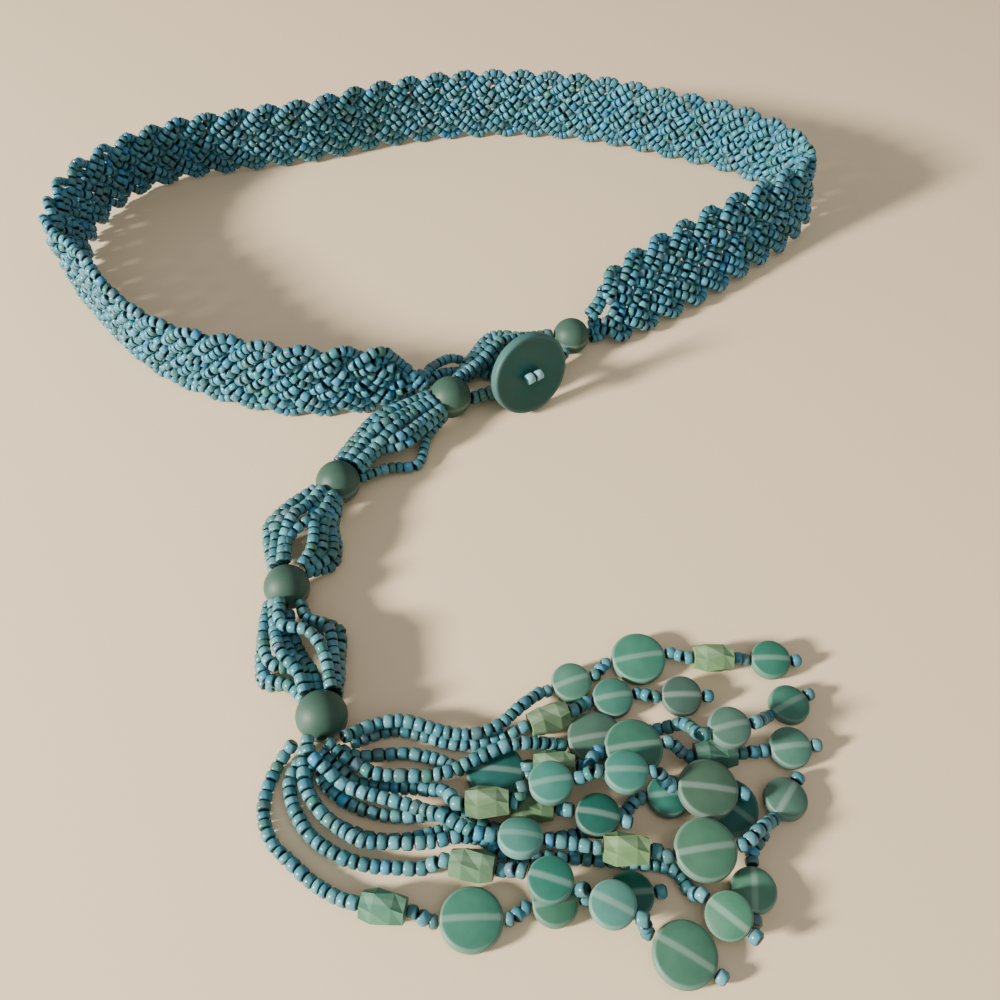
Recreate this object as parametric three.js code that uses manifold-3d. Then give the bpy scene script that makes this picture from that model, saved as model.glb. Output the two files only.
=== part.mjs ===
// Beaded belt: a plaited seed-bead band standing on its edge in a waist loop, closed by a
// round glass button in the first of four bead-string buttonholes, with a tassel of eleven
// bead strings that carry frosted stones. Millimetres, +Z up, table at z = 0, and the origin
// at the middle of the waist loop. +Y points away from the front of the belt.

import * as THREE from 'three';
import { mergeVertices } from 'three/addons/utils/BufferGeometryUtils.js';
import Module from 'manifold-3d';

const wasm = await Module();
wasm.setup();

// Driving sizes

const seedDiameter = 3.6;
const seedPitch = 2.75;
const threadDiameter = 0.9;
const threadClearance = 0.35;
const pieceGap = 0.3;
const threadOverlap = 1;
const leadLength = 2.2;
const leadShare = 0.4;
const stoneSlope = 0.25;
const cushion = 0.1;

const loopLength = 303;
const loopDepth = 187;
const bandWidth = 32;
const bandThickness = 6.6;
const scallopPitch = 12.8;
const scallopDepth = 2.2;
const rightEndGap = 1.1;
const leftEndGap = 2.9;

const roundBeadDiameter = 14;
const roundBeadBore = 3.6;
const coreDiameter = 2.6;
const clusterWidth = 26;
const clusterHeight = 11.5;
const clusterMouth = 0.16;

const buttonDiameter = 28.8;
const buttonThickness = 3.6;
const buttonHoleSpacing = 5.2;
const buttonLean = 12.4;
const buttonTurn = -56.4;
const buttonReach = 13.6;
const buttonShift = -2.3;
const buttonEdge = 0.63;
const shankSplit = 2.5;

const largeDiscDiameter = 15;
const smallDiscDiameter = 11;
const discThickness = 4.2;
const tubeLength = 10.6;
const tubeWidth = 8;
const tubeEndWidth = 6.1;
const tubeShoulder = 2.1;

// Mesh fineness

const stringSides = 8;
const stringStep = 3;
const threadSides = 5;
const clusterSides = 5;
const clusterSteps = 4;
const simplifyTolerance = 0.02;
const roundBeadSides = 12;
const roundBeadSteps = 5;
const drillSides = 6;
const discSides = 12;
const tubeSides = 6;
const buttonSides = 24;

// The band's way round the loop, from its tapered right end through the right turn, the far
// side and the left turn to its narrow left end. x and y are shares of the loop's length and
// depth, lean is the angle that the top edge tips towards the inside of the loop, and width is
// a share of the band's width. The two ends lie by the round beads that they meet: side is the
// direction from the bead's middle, in degrees from +X, and gap the room between them.
const bandRows = [
  { bead: 0, side: 3, gap: rightEndGap, lean: 50, width: 0.52 },
  { x: 0.218, y: -0.315, lean: 50, width: 0.79 },
  { x: 0.272, y: -0.258, lean: 48, width: 0.95 },
  { x: 0.34, y: -0.171, lean: 42, width: 1 },
  { x: 0.405, y: -0.072, lean: 29, width: 1 },
  { x: 0.458, y: 0.016, lean: 18, width: 1 },
  { x: 0.49, y: 0.109, lean: 8, width: 1 },
  { x: 0.472, y: 0.21, lean: 2, width: 1 },
  { x: 0.409, y: 0.309, lean: 0, width: 1 },
  { x: 0.319, y: 0.383, lean: 0, width: 1 },
  { x: 0.213, y: 0.453, lean: 0, width: 1 },
  { x: 0.098, y: 0.484, lean: 0, width: 1 },
  { x: -0.014, y: 0.472, lean: 0, width: 1 },
  { x: -0.121, y: 0.427, lean: 4, width: 1 },
  { x: -0.204, y: 0.37, lean: 8, width: 1 },
  { x: -0.295, y: 0.331, lean: 10, width: 1 },
  { x: -0.381, y: 0.293, lean: 12, width: 1 },
  { x: -0.441, y: 0.233, lean: 13, width: 1 },
  { x: -0.474, y: 0.146, lean: 7, width: 1 },
  { x: -0.485, y: 0.053, lean: -4, width: 1 },
  { x: -0.476, y: -0.045, lean: -13, width: 1 },
  { x: -0.469, y: -0.139, lean: -8, width: 1 },
  { x: -0.43, y: -0.232, lean: 0, width: 1 },
  { x: -0.38, y: -0.326, lean: -4, width: 1 },
  { x: -0.326, y: -0.408, lean: -5, width: 1 },
  { x: -0.272, y: -0.46, lean: -4, width: 1 },
  { x: -0.219, y: -0.493, lean: 0, width: 1 },
  { x: -0.172, y: -0.513, lean: 0, width: 1 },
  { x: -0.117, y: -0.511, lean: -2, width: 0.96 },
  { x: -0.063, y: -0.496, lean: 0, width: 0.86 },
  { bead: 1, side: 149, gap: leftEndGap, lean: 0, width: 0.58 },
];

// The band's section, walked round it: out is a share of its half thickness, towards the
// inside of the loop, edge says which edge the corner belongs to, and set is how far it lies
// in from that edge, as a share of the width.
const bandSection = [
  { out: 0.5, edge: 'bottom', set: 0 },
  { out: 1, edge: 'bottom', set: 0.15 },
  { out: 1, edge: 'top', set: 0.15 },
  { out: 0.5, edge: 'top', set: 0 },
  { out: -0.5, edge: 'top', set: 0 },
  { out: -1, edge: 'top', set: 0.15 },
  { out: -1, edge: 'bottom', set: 0.15 },
  { out: -0.5, edge: 'bottom', set: 0 },
];

// Routes of the bead strings: few points, chosen by hand from how the belt lies.
// firstBead is a share of the loop's length and depth, and chain steps from one round bead's
// centre to the next. hole rows are the strings of each bead-string buttonhole: sides are
// shares of half its width at its first quarter, middle and last quarter, to the near side
// when positive, and rise is a share of its height. shank is the two strings from
// the band's left end to the button, as points from the first buttonhole's middle. tassel
// points are counted from the last round bead: x, y, the height above where that piece would
// lie on the table, and, where the point is a stone's centre, its kind and tilt.
const routes = {
  firstBead: [0.1531, -0.3332],
  chain: [[-42.7, -32.2], [-34.1, -39], [-10.4, -40.8], [14.9, -41.5]],
  holes: [
    [
      { sides: [0.78, 0.78, 0.78], rise: 0.17 }, { sides: [0.86, 0.86, 0.86], rise: 0.5 },
      { sides: [0.5, 0.5, 0.5], rise: 0.17 }, { sides: [-1.08, -1.08, -1.08], rise: 0.56 },
      { sides: [-0.98, -0.98, -0.98], rise: 0.9 }, { sides: [-0.7, -0.7, -0.7], rise: 1 },
    ],
    [
      { sides: [0.7, 1.06, 0.95], rise: 0.17 }, { sides: [0.75, 0.62, 0.5], rise: 0.68 },
      { sides: [0.25, 0.16, 0.1], rise: 0.98 }, { sides: [-0.5, -0.34, -0.3], rise: 1 },
      { sides: [-0.95, -0.86, -0.8], rise: 0.55 },
    ],
    [
      { sides: [0.9, 0.98, 1.1], rise: 0.32 }, { sides: [0.7, 0.66, 0.8], rise: 0.8 },
      { sides: [0.3, 0.1, 0], rise: 1 }, { sides: [-0.3, -0.45, -0.4], rise: 0.94 },
      { sides: [-0.9, -0.96, -0.9], rise: 0.45 },
    ],
    [
      { sides: [0.9, 1.09, 0.95], rise: 0.35 }, { sides: [0.8, 0.84, 0.6], rise: 0.74 },
      { sides: [0, 0.34, 0.4], rise: 1 }, { sides: [-0.5, -0.52, -0.4], rise: 0.94 },
      { sides: [-0.95, -1.08, -0.95], rise: 0.4 },
    ],
  ],
  shank: [
    [[-27.4, -3.2, 9.4], [-21.5, 3.6, 7], [-14.6, 5.8, 3], [-5, 3.6, 2.4], [1.6, 0.4, 5], [5.4, -2.6, 9.4]],
    [[-25.6, -6.4, 8.4], [-20.5, -1.4, 5], [-14, 1.6, 2.4], [-7, -0.2, 2.4], [-2.6, -2.4, 5], [0.4, -5.2, 9.4]],
  ],
  tassel: [
    [
      [6.2, -7, 6.5], [13, -2, 3.8], [20, -0.5, 3.8], [26.5, -2, 3.8], [33, -4, 3.8],
      [39, -4.5, 3.8], [46, -2, 3.8], [52, 3.6, 3.8], [57, 8.8, 1.4],
      [66, 12.4, 0.1, 'small_disc', 6], [85, 20, 0.1, 'large_disc', 4],
      [105.5, 19.5, 0.1, 'faceted_tube', 0], [121.5, 19.5, 0.1, 'small_disc', 8],
    ],
    [
      [7.4, -5.4, 0.3], [13, -3, 0.1], [19.5, -1.5, 0.1], [26.5, -3, 0.1], [32.5, -5, 0.1],
      [39, -5.5, 0.1], [46, -4, 0.2], [59.5, 0.8, 0.1, 'faceted_tube', 0],
      [77, 7.7, 0.1, 'small_disc', 5], [95.5, 8, 0.1, 'small_disc', 10],
    ],
    [
      [2.6, -8.6, 8], [7, -11.7, 5.7], [11, -13.5, 3.9], [15.5, -15.5, 3.9], [21.5, -16, 3.9],
      [29, -16, 3.9], [35, -14.5, 4.1], [42.5, -11, 5], [49.5, -8.2, 5.3], [57, -6.7, 3.4],
      [71.6, -4.3, 0.1, 'large_disc', 0], [83, -2, 0.1], [89, -1.2, 0.4], [94.5, -2, 4.6],
      [105, -5.6, 8.5, 'small_disc', 4], [124, 5.5, 0.1, 'small_disc', 5],
    ],
    [
      [5.2, -8.3, 3.1], [9.5, -9.4, 0.8], [14.5, -8.6, 0.1], [23, -8.2, 0.1],
      [31, -10, 0.1], [45.4, -13.4, 0.1, 'large_disc', 0],
      [60.5, -12.8, 0.1, 'faceted_tube', 0], [69, -14.8, 7.2], [80.6, -9.5, 5.2, 'large_disc', 3],
      [102, -9.5, 0.1, 'faceted_tube', 0], [122, -7, 0.1, 'small_disc', 6],
    ],
    [
      [0.8, -9.8, 5], [3.6, -12.4, 4.8], [6.6, -14.8, 3.9], [10.4, -16.6, 1], [15, -17, 0.1], [22, -17.6, 0.1],
      [28, -18.6, 1.2], [33, -20.4, 4.2], [43.5, -24.5, 4.7, 'faceted_tube', 0],
      [59, -20.5, 8.7, 'small_disc', 0], [77.5, -18.5, 10.5, 'small_disc', 0],
      [98, -20.6, 4.8, 'large_disc', 4],
    ],
    [
      [2.7, -9.4, 0.1], [0.9, -14.6, 0.1], [5.4, -19.6, 0.1], [10.5, -22.6, 0.1],
      [14.5, -24, 0.1], [19, -25, 0.1], [25, -25, 0.1], [31, -24.4, 0.1],
      [38, -23.5, 0.1], [43, -23.3, 0.1], [54.8, -23.4, 0.1, 'faceted_tube', 0],
      [70.5, -27, 4.4, 'small_disc', 0],
    ],
    [
      [-3.4, -8.6, 5.6], [-3.2, -13.7, 4.4], [-1.6, -20, 3.9], [3, -26, 3.9], [9, -30.5, 3.9],
      [14, -33, 3.9], [19, -33.2, 3.9], [25, -33.5, 3.9], [31, -33, 3.9], [37, -31.6, 3.3],
      [43, -31.5, 0.6], [48.5, -35, 0.1], [60, -35.6, 0.1], [70, -36, 0.1],
      [87, -38, 0.1], [91.8, -43.8, 0.2], [99.2, -50.4, 1.6, 'small_disc', 20],
    ],
    [
      [-2.4, -8, 9.4], [-1, -12.4, 8.9], [3, -15.6, 7.2], [6.5, -17.8, 4.2], [10.5, -19.8, 3.9],
      [16, -21.5, 3.9], [21.5, -23, 3.9], [27, -24.8, 4.2], [33.5, -27.8, 5.9], [40, -31.6, 6.4],
      [51.5, -32.9, 4.1, 'small_disc', -16], [62, -33.8, 5.5],
      [76.5, -36, 4.3, 'faceted_tube', 0], [95.2, -36.2, 5.7, 'large_disc', 5],
      [109, -31, 6], [113.8, -26.8, 2], [118.2, -21, 0.1, 'small_disc', 4],
    ],
    [
      [-5, -10.4, 0.2], [-7, -15.5, 0.1], [-5.2, -22.5, 0.1], [0, -30, 0.1], [7.5, -35, 0.1],
      [15, -37.4, 0.1], [22.5, -38, 0.1], [28.5, -38, 0.3], [40, -38.2, 0.1, 'faceted_tube', 0],
      [58.4, -42.8, 4.7, 'small_disc', 3], [72.5, -48.5, 4.9, 'small_disc', 4],
      [88.5, -58, 0.1, 'large_disc', 0],
    ],
    [
      [-6.6, -6.4, 3.2], [-9.4, -9.4, 0.8], [-11.6, -14.5, 0.1], [-12.6, -20, 0.1],
      [-12, -26, 0.1], [-9, -32, 0.1], [-3.5, -37, 0.1], [2, -41.5, 0.1], [8, -45, 0.5],
      [19.5, -48, 0.1, 'faceted_tube', 0], [40, -50.2, 0, 'large_disc', 0],
      [59.5, -46.5, 0, 'small_disc', 0], [77.5, -44.5, 0, 'small_disc', 0],
    ],
    [
      [-1.3, -9.9, 0.6], [-3, -15, 0.1], [-0.5, -20.8, 0.1], [4, -26, 0.1],
      [10.5, -29.2, 0.1], [16, -31, 0.1], [23.5, -31, 0.1], [30, -29.4, 0.1], [36, -27.7, 0.1],
      [42, -27.5, 0.1], [47.5, -29.2, 0.1], [52, -30.4, 0.1], [58, -30.9, 0.1], [66, -29.6, 0.1],
      [76, -25.4, 0.1], [89, -20, 0.1, 'small_disc', 0], [103.6, -22.9, 0.1, 'large_disc', 0],
      [107.6, -34.5, 0.1], [106.5, -43.5, 0.1, 'small_disc', 0],
    ],
  ],
};

const seedRadius = seedDiameter / 2;
const beadRadius = roundBeadDiameter / 2;
const up = new THREE.Vector3(0, 0, 1);
const belt = new THREE.Group();

const finishes = {
  seeds: { color: 0x5aa0b4, roughness: 0.25 },
  roundBead: { color: 0x5a7a66, roughness: 0.6 },
  frosted: { color: 0x4f8573, roughness: 0.6 },
  olive: { color: 0x6a8a62, roughness: 0.55 },
  button: { color: 0x2f5f5d, roughness: 0.55 },
};

// Solids from geometries: the loose corners of each face are merged first

function toSolid(geometry) {
  const bare = geometry.index ? geometry.clone() : geometry;
  bare.deleteAttribute('normal');
  bare.deleteAttribute('uv');
  const merged = mergeVertices(bare, 1e-4);
  const mesh = new wasm.Mesh({
    numProp: 3,
    vertProperties: new Float32Array(merged.attributes.position.array),
    triVerts: new Uint32Array(merged.index.array),
  });
  mesh.merge();
  return new wasm.Manifold(mesh);
}

function toGeometry(solid) {
  const mesh = solid.simplify(simplifyTolerance).getMesh();
  const geometry = new THREE.BufferGeometry();
  geometry.setAttribute('position', new THREE.BufferAttribute(mesh.vertProperties, 3));
  geometry.setIndex(new THREE.BufferAttribute(mesh.triVerts, 1));
  geometry.computeVertexNormals();
  return geometry;
}

function addPiece(name, geometry, finish) {
  const material = new THREE.MeshStandardMaterial({ ...finishes[finish], metalness: 0 });
  const mesh = new THREE.Mesh(geometry, material);
  mesh.name = name;
  belt.add(mesh);
  return mesh;
}

function unite(solids) {
  return solids.reduce((sum, solid) => sum.add(solid));
}

function polygon(sides, radius) {
  const shape = new THREE.Shape();
  for (let corner = 0; corner < sides; corner += 1) {
    const angle = (2 * Math.PI * (corner + 0.5)) / sides;
    const point = [radius * Math.cos(angle), radius * Math.sin(angle)];
    if (corner === 0) {
      shape.moveTo(...point);
    } else {
      shape.lineTo(...point);
    }
  }
  shape.closePath();
  return shape;
}

// A straight round bar from one point to another, for threads and the drills that clear them
function bar(from, to, radius, sides) {
  const geometry = new THREE.CylinderGeometry(radius, radius, from.distanceTo(to), sides);
  const turn = new THREE.Quaternion().setFromUnitVectors(
    new THREE.Vector3(0, 1, 0),
    to.clone().sub(from).normalize(),
  );
  geometry.applyQuaternion(turn);
  geometry.translate(...from.clone().add(to).multiplyScalar(0.5).toArray());
  return toSolid(geometry);
}

// A bead string's outer form along a smooth curve through its points
function string(points, sides, steps) {
  const path = points.length > 2
    ? new THREE.CatmullRomCurve3(points, false, 'catmullrom', 0.5)
    : new THREE.LineCurve3(points[0], points[1]);
  const count = steps ?? Math.max(1, Math.round(path.getLength() / (stringStep * seedDiameter)));
  const section = polygon(sides, seedRadius);
  return toSolid(new THREE.ExtrudeGeometry(section, { steps: count, extrudePath: path }));
}

function drillRadius(diameter, clearance, sides) {
  return (diameter / 2 + clearance) / Math.cos(Math.PI / sides);
}

// Where the round beads lie

const beadPlaces = [new THREE.Vector3(
  routes.firstBead[0] * loopLength,
  routes.firstBead[1] * loopDepth,
  beadRadius,
)];
routes.chain.forEach(([dx, dy]) => {
  beadPlaces.push(beadPlaces[beadPlaces.length - 1].clone().add(new THREE.Vector3(dx, dy, 0)));
});

// The plaited band: sections lofted along its way round the loop, the two edges scalloped in
// turn, with a thread core that reaches into the first round bead

function bandPoint({ x, y, bead, side, gap }) {
  if (bead === undefined) {
    return new THREE.Vector3(x * loopLength, y * loopDepth, 0);
  }
  const angle = THREE.MathUtils.degToRad(side);
  const reach = beadRadius + gap;
  const away = new THREE.Vector3(reach * Math.cos(angle), reach * Math.sin(angle), 0);
  return beadPlaces[bead].clone().add(away).setZ(0);
}

const bandPath = new THREE.CatmullRomCurve3(bandRows.map(bandPoint), false, 'catmullrom', 0.5);
const bandShape = new THREE.CatmullRomCurve3(
  bandRows.map((row) => new THREE.Vector3(THREE.MathUtils.degToRad(row.lean), row.width, 0)),
  false,
  'catmullrom',
  0.5,
);

function bandFrame(share) {
  const t = bandPath.getUtoTmapping(share);
  const along = bandPath.getTangent(t);
  const inward = up.clone().cross(along).normalize();
  const { x: lean, y: width } = bandShape.getPoint(t);
  const rise = inward.clone().multiplyScalar(Math.sin(lean)).addScaledVector(up, Math.cos(lean));
  const face = inward.clone().multiplyScalar(Math.cos(lean)).addScaledVector(up, -Math.sin(lean));
  return { base: bandPath.getPoint(t), along, rise, face, width: width * bandWidth };
}

function bandRing(share, bottomDip, topDip) {
  const frame = bandFrame(share);
  const corners = bandSection.map(({ out, edge, set }) => {
    const inset = set * frame.width;
    const height = edge === 'bottom' ? bottomDip + inset : frame.width - topDip - inset;
    return frame.base.clone()
      .addScaledVector(frame.rise, height)
      .addScaledVector(frame.face, (out * bandThickness) / 2);
  });
  const lowest = Math.min(...corners.map((corner) => corner.z));
  return corners.map((corner) => corner.setZ(corner.z - lowest + bottomDip));
}

function loft(rings) {
  const size = rings[0].length;
  const positions = rings.flat().flatMap((corner) => corner.toArray());
  const index = [];
  for (let ring = 0; ring + 1 < rings.length; ring += 1) {
    for (let side = 0; side < size; side += 1) {
      const here = ring * size + side;
      const beside = ring * size + ((side + 1) % size);
      index.push(here, beside, here + size, beside, beside + size, here + size);
    }
  }
  const last = (rings.length - 1) * size;
  for (let side = 1; side + 1 < size; side += 1) {
    index.push(0, side + 1, side, last, last + side, last + side + 1);
  }
  const geometry = new THREE.BufferGeometry();
  geometry.setAttribute('position', new THREE.Float32BufferAttribute(positions, 3));
  geometry.setIndex(index);
  return geometry;
}

function sectionMiddle(share) {
  const frame = bandFrame(share);
  return frame.base.clone().addScaledVector(frame.rise, frame.width / 2);
}

const scallops = Math.round(bandPath.getLength() / scallopPitch);
const bandRings = [];
for (let half = 0; half <= 2 * scallops; half += 1) {
  const even = half % 2 === 0;
  bandRings.push(bandRing(half / (2 * scallops), even ? scallopDepth : 0, even ? 0 : scallopDepth));
}

// The way each round bead is threaded

const beadAxes = beadPlaces.map((place, bead) => {
  const before = bead === 0 ? sectionMiddle(0).setZ(beadRadius) : beadPlaces[bead - 1];
  const after = beadPlaces[bead + 1] ?? place.clone().add(new THREE.Vector3(0, -1, 0));
  const arriving = place.clone().sub(before).normalize();
  const leaving = after.clone().sub(place).normalize();
  return arriving.add(leaving).normalize();
});

function beadMouth(bead, side) {
  const reach = beadRadius + pieceGap + seedRadius;
  return beadPlaces[bead].clone().addScaledVector(beadAxes[bead], side * reach);
}

// The thread core inside a round bead, from its middle out of one mouth
function core(bead, side) {
  const axis = beadAxes[bead].clone().multiplyScalar(side);
  const from = beadPlaces[bead].clone().addScaledVector(axis, pieceGap / 2);
  const to = beadMouth(bead, side).addScaledVector(axis, threadOverlap);
  return bar(from, to, coreDiameter / 2, threadSides);
}

function addBand() {
  const mouth = beadMouth(0, -1);
  const inBand = sectionMiddle(0).addScaledVector(bandFrame(0).along, seedDiameter);
  const tie = bar(mouth, inBand, coreDiameter / 2, threadSides);
  const solid = unite([toSolid(loft(bandRings)), tie, core(0, -1)]);
  addPiece('woven_band', toGeometry(solid), 'seeds');
}

function roundBead() {
  const bore = roundBeadBore / 2;
  const reach = Math.asin(bore / beadRadius);
  const profile = [];
  for (let step = 0; step <= roundBeadSteps; step += 1) {
    const angle = reach + ((Math.PI - 2 * reach) * step) / roundBeadSteps;
    profile.push(new THREE.Vector2(beadRadius * Math.sin(angle), -beadRadius * Math.cos(angle)));
  }
  profile.push(profile[0].clone());
  return new THREE.LatheGeometry(profile, roundBeadSides);
}

function addRoundBeads() {
  const solid = toGeometry(toSolid(roundBead()));
  beadPlaces.forEach((place, bead) => {
    const mesh = addPiece(`round_bead_${bead + 1}`, solid.clone(), 'roundBead');
    mesh.position.copy(place);
    mesh.quaternion.setFromUnitVectors(new THREE.Vector3(0, 1, 0), beadAxes[bead]);
  });
}

// A bead-string buttonhole between two round beads: its strings part round an open middle

const holeStations = [
  { along: 0, spread: clusterMouth, quarter: 0 },
  { along: 0.22, spread: 0.72, quarter: 0 },
  { along: 0.5, spread: 1, quarter: 1 },
  { along: 0.78, spread: 0.72, quarter: 2 },
  { along: 1, spread: clusterMouth, quarter: 2 },
];

function holeLine(hole) {
  const from = beadMouth(hole, 1);
  const to = beadMouth(hole + 1, -1);
  const pull = from.distanceTo(to) / 3;
  return new THREE.CubicBezierCurve3(
    from,
    from.clone().addScaledVector(beadAxes[hole], pull),
    to.clone().addScaledVector(beadAxes[hole + 1], -pull),
    to,
  );
}

function holeString(hole, { sides, rise }) {
  const line = holeLine(hole);
  const points = holeStations.map(({ along, spread, quarter }) => {
    const near = line.getTangent(along).cross(up).negate().normalize();
    const height = Math.max(rise * clusterHeight, seedRadius + cushion) - beadRadius;
    return line.getPoint(along)
      .addScaledVector(near, (sides[quarter] * spread * (clusterWidth - seedDiameter)) / 2)
      .addScaledVector(up, height * spread);
  });
  return string(points, clusterSides, clusterSteps);
}

function addHoles() {
  routes.holes.forEach((rows, hole) => {
    const strings = rows.map((row) => holeString(hole, row));
    const solid = unite([...strings, core(hole, 1), core(hole + 1, -1)]);
    addPiece(`bead_buttonhole_${hole + 1}`, toGeometry(solid), 'seeds');
  });
}

// The button, leaning on the near side of the first buttonhole, and its shank of two strings

function buttonFrame() {
  const middle = holeLine(0).getPoint(0.5);
  const lean = THREE.MathUtils.degToRad(buttonLean);
  const turn = THREE.MathUtils.degToRad(buttonTurn);
  const normal = new THREE.Vector3(
    Math.cos(lean) * Math.cos(turn),
    Math.cos(lean) * Math.sin(turn),
    Math.sin(lean),
  );
  const lift = (buttonDiameter * Math.cos(lean) + buttonThickness * Math.sin(lean)) / 2;
  const place = middle.clone().setZ(0);
  place.x += buttonReach * Math.cos(turn) - buttonShift * Math.sin(turn);
  place.y += buttonReach * Math.sin(turn) + buttonShift * Math.cos(turn);
  place.z = lift + pieceGap / 2;
  const across = up.clone().cross(normal).normalize();
  return { middle, normal, place, across };
}

function addButton() {
  const { normal, place, across } = buttonFrame();
  const radius = buttonDiameter / 2;
  const half = buttonThickness / 2;
  const blank = new THREE.LatheGeometry([
    new THREE.Vector2(0, -half),
    new THREE.Vector2(radius - buttonEdge, -half),
    new THREE.Vector2(radius, -half + buttonEdge),
    new THREE.Vector2(radius, half - buttonEdge),
    new THREE.Vector2(radius - buttonEdge, half),
    new THREE.Vector2(0, half),
  ], buttonSides);
  const holes = [-1, 1].map((side) => bar(
    new THREE.Vector3((side * buttonHoleSpacing) / 2, -buttonThickness, 0),
    new THREE.Vector3((side * buttonHoleSpacing) / 2, buttonThickness, 0),
    drillRadius(threadDiameter, threadClearance, drillSides),
    drillSides,
  ));
  const solid = toSolid(blank).subtract(unite(holes));
  const mesh = addPiece('button', toGeometry(solid), 'button');
  mesh.position.copy(place);
  const basis = new THREE.Matrix4().makeBasis(across, normal, across.clone().cross(normal));
  mesh.quaternion.setFromRotationMatrix(basis);
}

function addShank() {
  const { middle, normal, place, across } = buttonFrame();
  const clear = bandThickness / 2 + seedRadius + pieceGap;
  const leftEnd = sectionMiddle(1).addScaledVector(bandFrame(1).face, clear);
  const face = buttonThickness / 2 + pieceGap;
  const parts = [1, -1].map((side, row) => {
    const hole = place.clone().addScaledVector(across, (side * buttonHoleSpacing) / 2);
    const back = hole.clone().addScaledVector(normal, -face);
    const points = routes.shank[row].map(([x, y, z]) => new THREE.Vector3(
      middle.x + x,
      middle.y + y,
      z,
    ));
    points.unshift(leftEnd.clone().addScaledVector(up, (side * shankSplit) / 2));
    points.push(back.clone().addScaledVector(normal, -seedDiameter), back);
    const thread = bar(
      back.clone().addScaledVector(normal, -threadOverlap),
      hole.clone().addScaledVector(normal, face + threadOverlap),
      threadDiameter / 2,
      threadSides,
    );
    return string(points, stringSides).add(thread);
  });
  const front = place.clone().addScaledVector(normal, face + seedRadius);
  const frontSeeds = string([
    front.clone().addScaledVector(across, -seedPitch),
    front.clone().addScaledVector(across, seedPitch),
  ], stringSides);
  addPiece('button_shank', toGeometry(unite([...parts, frontSeeds])), 'seeds');
}

// Stones of the tassel, each drilled along X through its middle, its flat faces along Y

const stones = {
  large_disc: { half: largeDiscDiameter / 2, thick: discThickness, finish: 'frosted' },
  small_disc: { half: smallDiscDiameter / 2, thick: discThickness, finish: 'frosted' },
  faceted_tube: { half: tubeLength / 2, thick: tubeWidth, finish: 'olive' },
};

function discStone(diameter) {
  const radius = diameter / 2;
  const blank = toSolid(new THREE.CylinderGeometry(radius, radius, discThickness, discSides));
  const drill = bar(
    new THREE.Vector3(-diameter, 0, 0),
    new THREE.Vector3(diameter, 0, 0),
    drillRadius(threadDiameter, threadClearance, drillSides),
    drillSides,
  );
  return toGeometry(blank.subtract(drill));
}

function tubeStone() {
  const bore = drillRadius(threadDiameter, threadClearance, drillSides);
  const end = tubeLength / 2;
  const profile = [
    [bore, -end], [tubeEndWidth / 2, -end], [tubeWidth / 2, -end + tubeShoulder],
    [tubeWidth / 2, end - tubeShoulder], [tubeEndWidth / 2, end], [bore, end], [bore, -end],
  ].map(([r, y]) => new THREE.Vector2(r, y));
  const geometry = new THREE.LatheGeometry(profile, tubeSides);
  geometry.rotateZ(-Math.PI / 2);
  return toGeometry(toSolid(geometry));
}

// How high the middle of a stone lies when it rests on the table, from the way it points
function restHeight(kind, axis, tilt) {
  const { half, thick } = stones[kind];
  const level = Math.hypot(axis.x, axis.y);
  if (kind === 'faceted_tube') {
    return half * Math.abs(axis.z) + (thick / 2) * level;
  }
  const facing = level * Math.cos(tilt);
  return half * Math.sqrt(Math.max(0, 1 - facing * facing)) + (thick / 2) * facing;
}

// The stops of one tassel string: places in the belt's frame, with a stone where there is one
function stringStops(route) {
  const start = beadPlaces[beadPlaces.length - 1];
  const stops = route.map(([x, y, lift, kind, tilt = 0]) => ({
    place: new THREE.Vector3(
      start.x + x,
      start.y + y,
      lift + (kind ? stones[kind].thick / 2 : seedRadius),
    ),
    lift,
    kind,
    tilt: THREE.MathUtils.degToRad(tilt),
  }));
  stops.forEach((stop, row) => {
    if (stop.kind) {
      const next = stops[row + 1] ?? stop;
      stop.axis = next.place.clone().sub(stops[row - 1].place);
      stop.axis.z *= stoneSlope;
      stop.axis.normalize();
    }
  });
  stops.filter((stop) => stop.kind).forEach((stop) => {
    stop.place.z = stop.lift + restHeight(stop.kind, stop.axis, stop.tilt);
    const reach = stones[stop.kind].half + pieceGap;
    stop.entry = stop.place.clone().addScaledVector(stop.axis, -reach);
    stop.exit = stop.place.clone().addScaledVector(stop.axis, reach);
  });
  return stops;
}

// A run of seeds leaves one stone and meets the next straight, as far as there is room for it
function seedRun(from, between, to) {
  const points = [from.exit, ...between, to.entry].filter((point) => point);
  const last = points.length - 1;
  const leadOut = Math.min(leadLength, leadShare * points[0].distanceTo(points[1]));
  const leadIn = Math.min(leadLength, leadShare * points[last].distanceTo(points[last - 1]));
  points.splice(last, 0, to.entry.clone().addScaledVector(to.axis, -leadIn));
  if (from.exit) {
    points.splice(1, 0, from.exit.clone().addScaledVector(from.axis, leadOut));
  }
  return string(points, stringSides);
}

function tasselString(stops) {
  const solids = [];
  let before = {};
  let between = [];
  stops.forEach((stop) => {
    if (!stop.kind) {
      between.push(stop.place);
      return;
    }
    solids.push(seedRun(before, between, stop));
    solids.push(bar(
      stop.entry.clone().addScaledVector(stop.axis, -threadOverlap),
      stop.exit.clone().addScaledVector(stop.axis, threadOverlap),
      threadDiameter / 2,
      threadSides,
    ));
    before = stop;
    between = [];
  });
  const seedEnd = before.exit.clone().addScaledVector(before.axis, seedPitch);
  solids.push(string([before.exit, seedEnd], stringSides));
  return unite(solids);
}

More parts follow.
